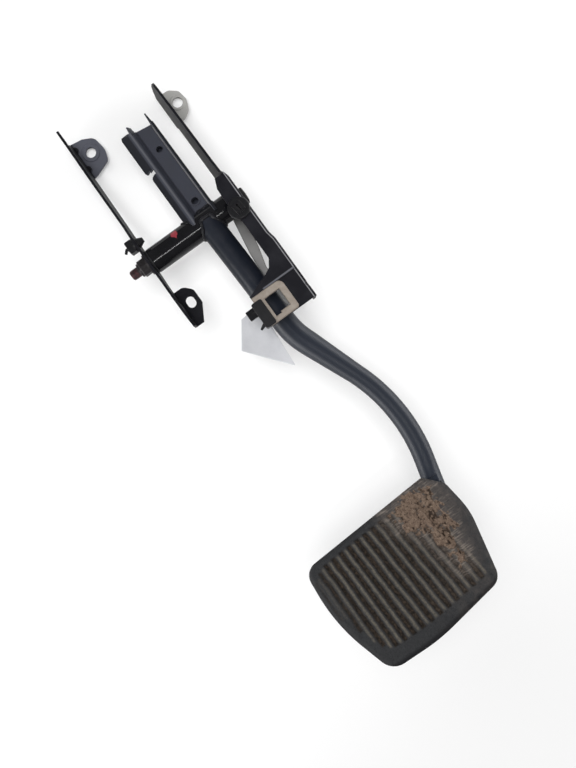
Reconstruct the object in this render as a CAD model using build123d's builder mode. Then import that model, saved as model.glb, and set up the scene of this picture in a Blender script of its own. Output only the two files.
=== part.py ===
from build123d import *
import math
import os

# Suspended brake pedal on its two bulkhead brackets, in millimetres.
# X runs to the driver's right, Y forward into the bulkhead, Z up.
# The origin is on the bulkhead face, midway between the two upper bolt holes.

# bracket sheet and fixing holes
sheet = 2.0
upper_hole_x = 43.0
upper_hole_z = 4.3
upper_hole_d = 9.0
collar_od = 16.0
collar_height = 0.9

# pivot
pivot_y = -50.0
pivot_z = -114.6
bolt_r = 3.95
bolt_hole_r = 4.2
sleeve_or = 6.0
sleeve_ir = 4.1
running_gap = 0.05
end_float = 0.25
bush_flange = 1.5
bush_length = 15.0

# side plates
left_inner_x = -53.5
left_outer_x = left_inner_x - sheet
right_inner_x = 31.9
right_outer_x = right_inner_x + sheet
right_upper_shift = -1.9
right_lower_shift = 1.3

# front panel of the right bracket
panel_front_y = -85.0
panel_back_y = panel_front_y + sheet
lower_top_z = -188.9
panel_bottom_z = -215.2

# switch window
window_x0 = 1.25
window_x1 = 14.8
window_z0 = -194.9
window_z1 = -210.7
window_step_z = -209.3

# plastic pieces
retainer_x = 25.6
retainer_z = -128.2
retainer_r = 8.6
clip_y = -57.0
clip_z = -97.5

# pedal weldment
hub_or = 10.5
hub_ir = 8.5
lever_lean = 9.0
lever_sheet = 2.5
lever_top = 98.2
lever_cut_depth = 0.35
lever_cut_side = 0.15
ear_low = 6.0
arm_tilt = 4.0
arm_forward = 2.4
arm_r = 9.9
arm_low_r = 8.0
arm_wall = 2.4
pad_tilt = 22.0
foot_thick = 3.0
foot_seat = 6.8
rubber_front = 8.4
rubber_lip = 2.6
groove_deep = 2.0
rib_wide = 3.4

os.makedirs("parts", exist_ok=True)

# left bracket: one pressing, a tall side plate with a bulkhead tab turned in at the top
# and a smaller tab turned in below, both carrying a fixing hole
with BuildPart() as left_bracket:
    with BuildSketch(Plane.YZ.offset(left_outer_x)):
        with BuildLine():
            Polyline(
                (0, 20.3), (-15, 14.9), (-29.5, 9), (-30.5, 21.5), (-32, 22.8), (-34.5, 21.5),
                (-37, 3.5), (-44, -19), (-49.6, -40.5), (-52.5, -60.7), (-55.5, -80.6), (-63.5, -91),
                (-67.6, -134), (-70, -153), (-69, -165), (-66, -172), (-61, -177.3), (-46, -177.3),
                (-46, -138), (-39, -128), (-33, -117), (-26, -92), (-19, -76), (-13.5, -66), (-9, -50),
                (-4, -36), (0, -24), close=True,
            )
        make_face()
    extrude(amount=sheet)
    with BuildSketch(Plane.XZ):
        with BuildLine():
            Polyline(
                (left_outer_x, 20.3), (-42.9, 18.4), (-33.2, 13.4), (-31.4, 0.5), (-34.6, -9.2),
                (-49.5, -14.8), (left_outer_x, -15.6), close=True,
            )
        make_face()
        fillet(vertices().filter_by(lambda v: v.X > -36 and v.Y < -8), 6)
        fillet(vertices().filter_by(lambda v: v.X > -32), 7)
        fillet(vertices().filter_by(lambda v: -33.5 < v.X and v.Y > 13), 7)
    extrude(amount=sheet)
    with BuildSketch(Plane.XZ.offset(46)):
        with BuildLine():
            Polyline(
                (left_outer_x, -144.6), (-45.0, -144.6), (-38.9, -151.0), (-38.9, -163.2), (-47.2, -177.3),
                (left_outer_x, -177.3), close=True,
            )
        make_face()
        fillet(vertices().filter_by(lambda v: -46 < v.X < -44 and v.Y > -150), 7)
        fillet(vertices().filter_by(lambda v: v.X > -40 and -152 < v.Y < -150), 4)
        fillet(vertices().filter_by(lambda v: v.X > -40 and v.Y < -160), 3)
    extrude(amount=sheet)
    with BuildSketch(Plane.XZ.offset(sheet)):
        with Locations((-upper_hole_x, upper_hole_z)):
            Circle(collar_od / 2)
    extrude(amount=collar_height, taper=30)
    with Locations(Location((left_inner_x, -sheet, 13.2)), Location((left_inner_x, -sheet, -6.6))):
        Sphere(3.6)
    with Locations(Location((left_outer_x - 5, 0, 0))):
        Box(10, 200, 500, mode=Mode.SUBTRACT)
    with Locations(Location((0, 10, 0))):
        Box(400, 20, 500, mode=Mode.SUBTRACT)
    with BuildSketch(Plane.XZ):
        with Locations((-upper_hole_x, upper_hole_z)):
            Circle(upper_hole_d / 2)
    extrude(amount=10, mode=Mode.SUBTRACT)
    with BuildSketch(Plane.XZ.offset(40)):
        with Locations((-46.4, -158.3)):
            SlotOverall(9.6, 7.3, rotation=90)
    extrude(amount=20, mode=Mode.SUBTRACT)
    with BuildSketch(Plane.YZ.offset(left_outer_x - 1)):
        with Locations((pivot_y, pivot_z)):
            Circle(bolt_hole_r)
        with Locations((clip_y, clip_z)):
            Circle(3.25)
    extrude(amount=10, mode=Mode.SUBTRACT)
    fillet(edges().filter_by(Axis.Z).filter_by(
        lambda e: abs(e.center().X - left_outer_x) < 0.01 and abs(e.center().Y) < 0.01), 1.8)
    fillet(edges().filter_by(Axis.Z).filter_by(
        lambda e: abs(e.center().X - left_outer_x) < 0.01 and abs(e.center().Y + 46) < 0.01), 1.8)
left_bracket.part.label = "left_bracket"
export_step(left_bracket.part, "parts/left_bracket.step")

# right bracket: side plate with two shallow joggles, bulkhead tab turned out at the top,
# front panel folded in along its near edge, the lower panel set back one sheet for the switch seat
wall_line = [
    (right_upper_shift, 14.0), (right_upper_shift, -96.5), (0, -103.5), (0, -155.0),
    (right_lower_shift, -162.0), (right_lower_shift, -230.0),
]
# darts pressed into the fold between side plate and front panel, to stiffen it
dart_r = 3.0
fold_darts = [
    (right_outer_x, panel_front_y, -106.8), (right_outer_x + 0.6, panel_front_y, -158.0),
    (right_outer_x + right_lower_shift, panel_back_y, -203.9),
]
with BuildPart() as right_bracket:
    with BuildSketch(Plane.XZ):
        with BuildLine():
            outer_side = [(right_outer_x + dx, z) for dx, z in wall_line]
            inner_side = [(right_inner_x + dx, z) for dx, z in reversed(wall_line)]
            Polyline(*outer_side, *inner_side, close=True)
        make_face()
        fillet(vertices().filter_by(lambda v: -170 < v.Y < -90), 6)
    extrude(amount=-panel_front_y)
    with BuildSketch(Plane.YZ.offset(right_inner_x - 10)):
        with BuildLine():
            Polyline(
                (0, 10), (-17, 9.4), (-32, 7), (-46, 3), (-51, -1), (-54.5, -12), (-63, -44), (-71, -84),
                (-75, -94.5), (panel_front_y, -99.4), (panel_front_y, panel_bottom_z), (-62, panel_bottom_z),
                (-50, -196), (-28, -156), (-13, -140), (-12, -70), (-9.5, -26), (0, -21), close=True,
            )
        make_face()
    extrude(amount=20, mode=Mode.INTERSECT)
    with BuildSketch(Plane.XZ):
        with BuildLine():
            Polyline(
                (right_inner_x + right_upper_shift, 10), (42.5, 9.2), (49.6, 3.5), (51.1, -6.0), (47.5, -14.5),
                (41.0, -18.8), (right_inner_x + right_upper_shift, -21), close=True,
            )
        make_face()
        fillet(vertices().filter_by(lambda v: v.X > 40.5), 5)
    extrude(amount=sheet)
    with BuildSketch(Plane.XZ.offset(sheet)):
        with Locations((upper_hole_x, -upper_hole_z)):
            Circle(13.6 / 2)
    extrude(amount=collar_height, taper=30)
    with BuildSketch(Plane.XZ.offset(-panel_back_y)):
        with BuildLine():
            Polyline(
                (23.9, -99.4), (20.8, -106.7), (20.4, -116), (20.4, -131), (22.0, -138.5), (22.0, -171.5),
                (17.8, -177.6), (12.5, -180.4), (5.0, -182.9), (-6.0, -187.2), (-6.0, lower_top_z),
                (right_outer_x + right_lower_shift - 1, lower_top_z),
                (right_outer_x + right_lower_shift - 1, -160), (right_outer_x - 1, -154),
                (right_outer_x - 1, -104), (right_outer_x + right_upper_shift, -99.4), close=True,
            )
        make_face()
        fillet(vertices().filter_by(lambda v: 21.9 < v.X < 22.1 and v.Y < -165), 4)
    extrude(amount=sheet)
    with BuildSketch(Plane.XZ.offset(-panel_back_y - sheet)):
        with BuildLine():
            Polyline(
                (-7.0, lower_top_z + 2.0), (right_outer_x + right_lower_shift - 1, lower_top_z + 2.0),
                (right_outer_x + right_lower_shift - 1, panel_bottom_z), (-7.0, panel_bottom_z), close=True,
            )
        make_face()
        fillet(vertices().filter_by(lambda v: v.X < 0 and v.Y < -200), 3)
    extrude(amount=sheet)
    with BuildSketch(Plane.XZ.offset(-panel_front_y)):
        with Locations((0, -202.05)):
            Rectangle(90, 26.3)
    extrude(amount=-sheet, mode=Mode.SUBTRACT)
    with BuildSketch(Plane.XZ):
        with Locations((upper_hole_x, -upper_hole_z)):
            Circle(upper_hole_d / 2)
    extrude(amount=10, mode=Mode.SUBTRACT)
    with BuildSketch(Plane.YZ.offset(right_inner_x - 5)):
        with Locations((pivot_y, pivot_z)):
            Circle(bolt_hole_r)
    extrude(amount=15, mode=Mode.SUBTRACT)
    with BuildSketch(Plane.XZ.offset(70)):
        with BuildLine():
            Polyline(
                (window_x0, window_z0), (window_x1, window_z0), (window_x1, window_step_z),
                (6.0, window_step_z), (6.0, window_z1), (window_x0, window_z1), close=True,
            )
        make_face()
        with Locations((retainer_x, retainer_z)):
            Circle(3.5)
    extrude(amount=30, mode=Mode.SUBTRACT)
    fillet(edges().filter_by(
        lambda e: e.center().X > right_outer_x - 0.6 and abs(e.center().Y - panel_front_y) < 0.01
        and abs(e.bounding_box().size.Y) < 0.01 and e.bounding_box().size.Z > 0.5
        and e.center().Z > lower_top_z), 1.8)
    for dart_x, dart_y, dart_z in fold_darts:
        with Locations(Location((dart_x + 0.8, dart_y - 0.8, dart_z), (0, 90, 0))):
            Sphere(dart_r, mode=Mode.SUBTRACT)
right_bracket.part.label = "right_bracket"
export_step(right_bracket.part, "parts/right_bracket.step")

# switch seat: small bare plate welded on the lower panel, its window takes the brake-light switch
with BuildPart() as switch_plate:
    with BuildSketch(Plane.XZ.offset(-panel_back_y)):
        with BuildLine():
            Polyline(
                (-7.0, lower_top_z), (20.1, lower_top_z), (20.1, -214.9), (-7.0, -214.9), close=True,
            )
        make_face()
        fillet(vertices().filter_by(lambda v: v.X > 0 and v.Y > -200), 5)
        fillet(vertices().filter_by(lambda v: v.Y < -200), 2.5)
        with BuildLine():
            Polyline(
                (window_x0, window_z0), (window_x1, window_z0), (window_x1, window_step_z),
                (6.0, window_step_z), (6.0, window_z1), (window_x0, window_z1), close=True,
            )
        make_face(mode=Mode.SUBTRACT)
    extrude(amount=sheet)
    chamfer(faces().sort_by(Axis.Y)[0].edges(), 0.4)
switch_plate.part.label = "switch_plate"
export_step(switch_plate.part, "parts/switch_plate.step")

# brace strap: flat stay with a foot welded on the right plate and a slotted fixing tab at its lower end
with BuildPart() as brace_strap:
    with BuildSketch(Plane.XZ.offset(28)):
        with BuildLine():
            Polyline(
                (right_inner_x, -119), (20.6, -121), (15.8, -150.8), (15.0, -160), (15.0, -206), (30.0, -206),
                (30.0, -186), (20.5, -179), (20.5, -168), (25.0, -150.8), (27.5, -137), (right_inner_x, -137),
                close=True,
            )
        make_face()
        fillet(vertices().filter_by(lambda v: v.Y < -200), 5)
        fillet(vertices().filter_by(lambda v: -190 < v.Y < -178), 3)
    extrude(amount=sheet)
    with Locations(Location((right_inner_x - sheet / 2, -23, -128))):
        Box(sheet, 14, 18)
    with BuildSketch(Plane.XZ.offset(20)):
        with Locations((22.5, -196)):
            SlotOverall(9.6, 7.3, rotation=90)
    extrude(amount=20, mode=Mode.SUBTRACT)
brace_strap.part.label = "brace_strap"
export_step(brace_strap.part, "parts/brace_strap.step")

# pivot bolt: hex head on the right plate, plain shank, thread end standing proud of the nut
with BuildPart() as pivot_bolt:
    with BuildSketch(Plane.YZ.offset(right_outer_x)):
        with Locations((pivot_y, pivot_z)):
            RegularPolygon(6.5, 6, major_radius=False)
    extrude(amount=5.3)
    chamfer(faces().sort_by(Axis.X)[-1].edges(), 0.6)
    with BuildSketch(Plane.YZ.offset(-72.9)):
        with Locations((pivot_y, pivot_z)):
            Circle(bolt_r)
    extrude(amount=right_outer_x + 72.9)
    chamfer(faces().sort_by(Axis.X)[0].edges(), 0.9)
pivot_bolt.part.label = "pivot_bolt"
export_step(pivot_bolt.part, "parts/pivot_bolt.step")

# plain washer under the nut
with BuildPart() as pivot_washer:
    with BuildSketch(Plane.YZ.offset(left_outer_x - 1.8)):
        with Locations((pivot_y, pivot_z)):
            Circle(9.0)
            Circle(bolt_hole_r, mode=Mode.SUBTRACT)
    extrude(amount=1.8)
pivot_washer.part.label = "pivot_washer"
export_step(pivot_washer.part, "parts/pivot_washer.step")

# self-locking nut: hexagon with a round collar that holds the locking ring
with BuildPart() as pivot_nut:
    with BuildSketch(Plane.YZ.offset(left_outer_x - 1.8)):
        with Locations((pivot_y, pivot_z)):
            RegularPolygon(6.5, 6, major_radius=False)
    extrude(amount=-6.2)
    chamfer(faces().sort_by(Axis.X)[0].edges(), 0.5)
    with BuildSketch(Plane.YZ.offset(left_outer_x - 8.0)):
        with Locations((pivot_y, pivot_z)):
            Circle(5.9)
    extrude(amount=-1.8)
    fillet(faces().sort_by(Axis.X)[0].edges(), 0.8)
    with BuildSketch(Plane.YZ.offset(left_outer_x)):
        with Locations((pivot_y, pivot_z)):
            Circle(bolt_r)
    extrude(amount=-20, mode=Mode.SUBTRACT)
pivot_nut.part.label = "pivot_nut"
export_step(pivot_nut.part, "parts/pivot_nut.step")

# spacer sleeve: clamped end to end between the two side plates, the bushes turn on it
with BuildPart() as pivot_sleeve:
    with BuildSketch(Plane.YZ.offset(left_inner_x)):
        with Locations((pivot_y, pivot_z)):
            Circle(sleeve_or)
            Circle(sleeve_ir, mode=Mode.SUBTRACT)
    extrude(amount=right_inner_x - left_inner_x)
pivot_sleeve.part.label = "pivot_sleeve"
export_step(pivot_sleeve.part, "parts/pivot_sleeve.step")

# hub: cross tube that carries the lever and the arm
hub_x0 = left_inner_x + end_float + bush_flange
hub_x1 = right_inner_x - end_float - bush_flange
with BuildPart() as hub_tube:
    with BuildSketch(Plane.YZ.offset(hub_x0)):
        with Locations((pivot_y, pivot_z)):
            Circle(hub_or)
            Circle(hub_ir, mode=Mode.SUBTRACT)
    extrude(amount=hub_x1 - hub_x0)
    chamfer(faces().sort_by(Axis.X)[0].edges(), 0.3)
    chamfer(faces().sort_by(Axis.X)[-1].edges(), 0.3)
hub_tube.part.label = "hub_tube"
export_step(hub_tube.part, "parts/hub_tube.step")

# left bush: flanged plastic, pressed in the hub
with BuildPart() as left_bush:
    with BuildSketch(Plane.YZ.offset(hub_x0 - bush_flange)):
        with Locations((pivot_y, pivot_z)):
            Circle(hub_or - 0.3)
    extrude(amount=bush_flange)
    with BuildSketch(Plane.YZ.offset(hub_x0)):
        with Locations((pivot_y, pivot_z)):
            Circle(hub_ir)
    extrude(amount=bush_length)
    with BuildSketch(Plane.YZ.offset(hub_x0 - bush_flange)):
        with Locations((pivot_y, pivot_z)):
            Circle(sleeve_or + running_gap)
    extrude(amount=bush_length + 5, mode=Mode.SUBTRACT)
left_bush.part.label = "left_bush"
export_step(left_bush.part, "parts/left_bush.step")

# right bush: the same moulding turned round
with BuildPart() as right_bush:
    with BuildSketch(Plane.YZ.offset(hub_x1)):
        with Locations((pivot_y, pivot_z)):
            Circle(hub_or - 0.3)
    extrude(amount=bush_flange)
    with BuildSketch(Plane.YZ.offset(hub_x1 - bush_length)):
        with Locations((pivot_y, pivot_z)):
            Circle(hub_ir)
    extrude(amount=bush_length)
    with BuildSketch(Plane.YZ.offset(hub_x1 - bush_length - 1)):
        with Locations((pivot_y, pivot_z)):
            Circle(sleeve_or + running_gap)
    extrude(amount=bush_length + 6, mode=Mode.SUBTRACT)
right_bush.part.label = "right_bush"
export_step(right_bush.part, "parts/right_bush.step")

# lever: folded channel standing on the hub, leaning to the bulkhead, with a split lip down its left side;
# its end is cut askew and both walls run on into short ears
lean_s = math.sin(math.radians(lever_lean))
lean_c = math.cos(math.radians(lever_lean))
lever_plane = Plane(origin=(0, pivot_y, pivot_z), x_dir=(1, 0, 0), z_dir=(0, lean_s, lean_c))
lever_front = Plane(origin=(0, pivot_y, pivot_z), x_dir=(1, 0, 0), z_dir=(0, -lean_c, lean_s))
lever_end = Plane(
    origin=(0, pivot_y + lever_top * lean_s, pivot_z + lever_top * lean_c),
    z_dir=(lever_cut_side, lean_s - lever_cut_depth * lean_c, lean_c + lever_cut_depth * lean_s),
)
lip_corners = [(-12.7, 95.5, 3.5, 4.0), (-12.7, 62.3, 3.5, -4.0), (-11.8, 51.9, 2.5, 4.0)]
with BuildPart() as lever_channel:
    with BuildSketch(lever_plane):
        with BuildLine():
            FilletPolyline(
                (12.4, -12.0), (12.4, -0.75), (-2.6, -0.75), (-7.4, -11.0), (-15.4, -4.6), radius=2.6,
            )
        trace(line_width=lever_sheet)
    extrude(amount=lever_top + 8.0)
    with BuildSketch(lever_end):
        Rectangle(120, 120)
    extrude(amount=30, mode=Mode.SUBTRACT)
    with BuildSketch(lever_plane.offset(lever_top - ear_low)):
        with Locations((-5.5, -6.9)):
            Rectangle(7.0, 2.4, rotation=65)
        with Locations((11.9, -7.6)):
            Rectangle(2.4, 7.0)
    extrude(amount=9.8, taper=4)
    with BuildSketch(lever_front):
        with Locations((5.0, 73.9)):
            Circle(2.8)
        with Locations((3.6, 19.8)):
            Circle(3.0)
        with Locations((-14.0, 56.6)):
            Rectangle(10.0, 4.4)
        with Locations((-15.9, 30.0)):
            Rectangle(3.2, 54.0)
    extrude(amount=40, both=True, mode=Mode.SUBTRACT)
    with BuildSketch(lever_front):
        for corner_x, corner_h, corner_r, outer in lip_corners:
            with Locations((corner_x - 4.0, corner_h + outer)):
                Rectangle(8.0, 8.0)
            with Locations((corner_x, corner_h)):
                Circle(corner_r, mode=Mode.SUBTRACT)
    extrude(amount=40, both=True, mode=Mode.SUBTRACT)
    with BuildSketch(lever_front.offset(2.0)):
        with Locations((3.6, 19.8)):
            Circle(4.2)
            Circle(3.0, mode=Mode.SUBTRACT)
    extrude(amount=0.8)
    with Locations(Location((0, pivot_y, pivot_z))):
        Cylinder(hub_or, 120, rotation=(0, 90, 0), mode=Mode.SUBTRACT)
    with Locations(Location((0, pivot_y, pivot_z - 15))):
        Box(120, 60, 30, mode=Mode.SUBTRACT)
lever_channel.part.label = "lever_channel"
export_step(lever_channel.part, "parts/lever_channel.step")

# closing channel: folded sheet welded behind the lever web, so that the lever is a box
with BuildPart() as lever_back:
    with BuildSketch(lever_plane):
        with BuildLine():
            FilletPolyline((-1.0, 0.5), (-1.0, 9.0), (11.0, 9.0), (11.0, 0.5), radius=3.0)
        trace(line_width=sheet)
    extrude(amount=lever_top - 6.0)
    with Locations(Location((0, pivot_y, pivot_z))):
        Cylinder(hub_or, 120, rotation=(0, 90, 0), mode=Mode.SUBTRACT)
    with Locations(Location((0, pivot_y, pivot_z - 15))):
        Box(120, 60, 30, mode=Mode.SUBTRACT)
lever_back.part.label = "lever_back"
export_step(lever_back.part, "parts/lever_back.step")

# arm: bent tube from the hub to the foot plate, swaged down between its two bends;
# points are (x, distance down the arm plane), the last run turns to lie along the foot plate
tilt_s = math.sin(math.radians(arm_tilt))
tilt_c = math.cos(math.radians(arm_tilt))
pad_s = math.sin(math.radians(pad_tilt))
pad_c = math.cos(math.radians(pad_tilt))
arm_top = Vector(1.9, pivot_y - arm_forward, pivot_z)
bend_1 = Vector(5.14, pivot_y - 113.0 * tilt_s, pivot_z - 113.0 * tilt_c)
bend_2 = Vector(42.0, pivot_y - 210.0 * tilt_s, pivot_z - 210.0 * tilt_c)
bend_3 = Vector(27.4, pivot_y - 262.0 * tilt_s, pivot_z - 262.0 * tilt_c)
arm_end = bend_3 + Vector(-0.27, -0.963 * pad_s, -0.963 * pad_c) * 44.0


def bend(before, corner, after, radius):
    """Start, middle and end of the arc of the given radius tangent to both runs at a corner."""
    into = (corner - before).normalized()
    out = (after - corner).normalized()
    half = math.acos(max(-1.0, min(1.0, into.dot(out)))) / 2
    run = radius * math.tan(half)
    inward = (out - into).normalized()
    start = corner - into * run
    end = corner + out * run
    middle = corner + inward * (radius / math.cos(half) - radius)
    return start, middle, end


bend_1_arc = bend(arm_top, bend_1, bend_2, 60.0)
bend_2_arc = bend(bend_1, bend_2, bend_3, 138.0)
bend_3_arc = bend(bend_2, bend_3, arm_end, 45.0)
run_dir = (bend_2 - bend_1).normalized()
cone_top = bend_1_arc[2] + run_dir * 4.0
cone_low = bend_2_arc[0]
cone_plane = Plane(origin=cone_top, z_dir=run_dir)
cone_end_plane = Plane(origin=cone_low, z_dir=run_dir)
pad_origin = Vector(0, bend_3.Y, bend_3.Z) + Vector(0, -pad_c, pad_s) * foot_seat
foot_plane = Plane(origin=pad_origin, x_dir=(1, 0, 0), z_dir=(0, -pad_c, pad_s))
with BuildPart() as pedal_arm:
    with BuildLine() as upper_path:
        Line(arm_top, bend_1_arc[0])
        ThreePointArc(*bend_1_arc)
        Line(bend_1_arc[2], cone_top)
    with BuildSketch(Plane(origin=arm_top, z_dir=(bend_1 - arm_top))):
        Circle(arm_r)
    sweep(path=upper_path.wires()[0])
    with BuildSketch(cone_plane):
        Circle(arm_r)
    with BuildSketch(cone_end_plane):
        Circle(arm_low_r)
    loft()
    with BuildLine() as lower_path:
        ThreePointArc(*bend_2_arc)
        Line(bend_2_arc[2], bend_3_arc[0])
        ThreePointArc(*bend_3_arc)
        Line(bend_3_arc[2], arm_end)
    with BuildSketch(cone_end_plane):
        Circle(arm_low_r)
    sweep(path=lower_path.wires()[0])
    with BuildSketch(Plane(origin=arm_top, z_dir=(bend_1 - arm_top))):
        Circle(arm_r - arm_wall)
    sweep(path=upper_path.wires()[0], mode=Mode.SUBTRACT)
    with BuildSketch(cone_plane):
        Circle(arm_r - arm_wall)
    with BuildSketch(cone_end_plane):
        Circle(arm_low_r - arm_wall)
    loft(mode=Mode.SUBTRACT)
    with BuildSketch(cone_end_plane):
        Circle(arm_low_r - arm_wall)
    sweep(path=lower_path.wires()[0], mode=Mode.SUBTRACT)
    with Locations(Location((0, pivot_y, pivot_z))):
        Cylinder(hub_or, 120, rotation=(0, 90, 0), mode=Mode.SUBTRACT)
    with Locations(Location((0, pivot_y, pivot_z + 30))):
        Box(120, 60, 60, mode=Mode.SUBTRACT)
    with BuildSketch(foot_plane):
        with Locations((0, -106.0)):
            Rectangle(200, 200)
    extrude(amount=30, mode=Mode.SUBTRACT)
pedal_arm.part.label = "pedal_arm"
export_step(pedal_arm.part, "parts/pedal_arm.step")

# foot plate and rubber share one outline, drawn on the plate's own plane: x across, y up the face
pad_corners = [
    (-94.4, -9.3), (18.2, -3.2), (30.2, -17.0), (32.7, -43.0), (19.6, -94.4), (-40.0, -103.3),
    (-80.3, -102.0), (-96.4, -54.0),
]
pad_rounds = [11.0, 4.0, 8.0, 60.0, 11.0, 150.0, 14.0, 130.0]

# foot plate: flat steel, welded across the end of the arm
with BuildPart() as foot_plate:
    with BuildSketch(foot_plane):
        with BuildLine():
            Polyline(*pad_corners, close=True)
        make_face()
        offset(amount=-4.0, kind=Kind.INTERSECTION)
        fillet(vertices(), 5.0)
    extrude(amount=foot_thick)
foot_plate.part.label = "foot_plate"
export_step(foot_plate.part, "parts/foot_plate.step")

# rubber pad: moulded cover, fourteen upright ribs left between grooves, bevelled rim, pocket and lip round the plate
rib_rows = [
    (-87.6, -19.0, -57.0), (-80.4, -15.0, -81.0), (-73.0, -14.0, -90.0), (-65.6, -13.7, -91.0),
    (-58.1, -13.3, -91.0), (-50.5, -13.0, -91.2), (-42.8, -12.6, -91.2), (-35.2, -12.2, -91.0),
    (-27.5, -11.8, -90.3), (-19.8, -11.3, -89.8), (-12.0, -11.0, -89.0), (-4.3, -10.6, -88.4),
    (3.3, -10.3, -87.6), (11.0, -10.0, -86.6),
]
groove_sides = [(-94.0, -23.0, -54.0)] + rib_rows
with BuildPart() as pad_rubber:
    with BuildSketch(foot_plane.offset(-rubber_lip)):
        with BuildLine():
            Polyline(*pad_corners, close=True)
        make_face()
        for corner, radius in zip(pad_corners, pad_rounds):
            near = vertices().sort_by_distance((corner[0], corner[1], 0))[0]
            fillet(near, radius)
    extrude(amount=rubber_lip + foot_thick + rubber_front)
    chamfer(faces().sort_by(Axis((0, 0, 0), foot_plane.z_dir))[-1].edges(), 3.2)
    with BuildSketch(foot_plane.offset(foot_thick + rubber_front)):
        for index, (before, after) in enumerate(zip(groove_sides, rib_rows)):
            groove_top = (before[1] + after[1]) / 2
            groove_low = (before[2] + after[2]) / 2
            with Locations(((before[0] + after[0]) / 2, (groove_top + groove_low) / 2)):
                SlotOverall(groove_top - groove_low, after[0] - before[0] - rib_wide, rotation=92.0 + index * 0.18)
    extrude(amount=-groove_deep, taper=20, mode=Mode.SUBTRACT)
    with BuildSketch(foot_plane):
        with BuildLine():
            Polyline(*pad_corners, close=True)
        make_face()
        offset(amount=-4.0, kind=Kind.INTERSECTION)
        fillet(vertices(), 5.0)
    extrude(amount=foot_thick, mode=Mode.SUBTRACT)
    with BuildSketch(foot_plane):
        with BuildLine():
            Polyline(*pad_corners, close=True)
        make_face()
        offset(amount=-9.0, kind=Kind.INTERSECTION)
        fillet(vertices(), 5.0)
    extrude(amount=-rubber_lip, mode=Mode.SUBTRACT)
    with BuildSketch(Plane(origin=bend_3 - (arm_end - bend_3), z_dir=(arm_end - bend_3))):
        Circle(arm_low_r + 0.35)
    extrude(amount=100, mode=Mode.SUBTRACT)
pad_rubber.part.label = "pad_rubber"
export_step(pad_rubber.part, "parts/pad_rubber.step")

# trim retainer: round plastic head with a square slotted boss, its barbed shank pushed through the panel
with BuildPart() as trim_retainer:
    with BuildSketch(Plane.XZ.offset(-panel_front_y)):
        with Locations((retainer_x, retainer_z)):
            Circle(retainer_r)
    extrude(amount=2.2)
    fillet(faces().sort_by(Axis.Y)[0].edges(), 1.2)
    with BuildSketch(Plane.XZ.offset(-panel_front_y + 2.2)):
        with Locations((retainer_x, retainer_z)):
            Rectangle(7.6, 7.6, rotation=8)
            Rectangle(1.7, 5.0, rotation=8, mode=Mode.SUBTRACT)
    extrude(amount=2.6)
    with BuildSketch(Plane.XZ.offset(-panel_front_y)):
        with Locations((retainer_x, retainer_z)):
            Circle(3.4)
    extrude(amount=-4.0)
    with BuildSketch(Plane.XZ.offset(-panel_back_y)):
        with Locations((retainer_x, retainer_z)):
            Circle(4.3)
    extrude(amount=-4.0, taper=22)
trim_retainer.part.label = "trim_retainer"
export_step(trim_retainer.part, "parts/trim_retainer.step")

# left harness clip: block with a tie slot, flange against the plate, arrow head snapped through its hole
with BuildPart() as left_clip:
    with BuildSketch(Plane.YZ.offset(left_outer_x)):
        with Locations((clip_y, clip_z)):
            Circle(6.0)
    extrude(amount=-1.5)
    with Locations((left_outer_x - 1.5 - 2.6, clip_y, clip_z)):
        Box(5.2, 9.0, 10.3)
    fillet(faces().sort_by(Axis.X)[0].edges(), 1.2)
    with BuildSketch(Plane.YZ.offset(left_outer_x)):
        with Locations((clip_y, clip_z)):
            Circle(3.15)
    extrude(amount=sheet)
    with BuildSketch(Plane.YZ.offset(left_inner_x)):
        with Locations((clip_y, clip_z)):
            Circle(4.6)
    extrude(amount=5.8, taper=25)
    with Locations((left_outer_x - 5.2, clip_y, clip_z - 0.6)):
        Box(6.0, 1.4, 4.7, mode=Mode.SUBTRACT)
left_clip.part.label = "left_clip"
export_step(left_clip.part, "parts/left_clip.step")

# cut tie end left in the clip
with BuildPart() as left_tie:
    with BuildSketch(Plane.XZ.offset(-clip_y - 0.7)):
        with BuildLine():
            Polyline(
                (left_outer_x - 2.2, clip_z + 1.75), (left_outer_x - 8.2, clip_z + 1.75),
                (left_outer_x - 11.0, clip_z - 1.2), (left_outer_x - 9.6, clip_z - 2.6),
                (left_outer_x - 7.6, clip_z - 0.6), (left_outer_x - 6.2, clip_z - 2.95),
                (left_outer_x - 2.2, clip_z - 2.95), close=True,
            )
        make_face()
    extrude(amount=1.4)
left_tie.part.label = "left_tie"
export_step(left_tie.part, "parts/left_tie.step")

# lower harness clip: block pushed over the left edge of the switch seat and the panel behind it
with BuildPart() as lower_clip:
    with Locations((-5.6, -83.2, -203.8)):
        Box(9.0, 11.4, 21.4)
    fillet(edges().filter_by(Axis.Y), 1.6)
    with BuildSketch(Plane.YZ.offset(-10.1)):
        with Locations((-83.4, -199.0)):
            RegularPolygon(4.5, 6)
    extrude(amount=-6.7)
    fillet(faces().sort_by(Axis.X)[0].edges(), 0.8)
    with Locations((2.0, panel_back_y, -203.8)):
        Box(18.0, 2 * sheet, 40.0, mode=Mode.SUBTRACT)
    with Locations((-5.0, -87.2, -210.2)):
        Box(14.0, 1.4, 4.7, mode=Mode.SUBTRACT)
lower_clip.part.label = "lower_clip"
export_step(lower_clip.part, "parts/lower_clip.step")

# cut tie end left in the lower clip
with BuildPart() as lower_tie:
    with BuildSketch(Plane.XZ.offset(86.5)):
        with BuildLine():
            Polyline(
                (-1.1, -207.85), (-9.4, -207.85), (-10.4, -209.4), (-14.6, -212.0), (-14.0, -213.4),
                (-10.0, -212.55), (-1.1, -212.55), close=True,
            )
        make_face()
    extrude(amount=1.4)
lower_tie.part.label = "lower_tie"
export_step(lower_tie.part, "parts/lower_tie.step")

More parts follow.
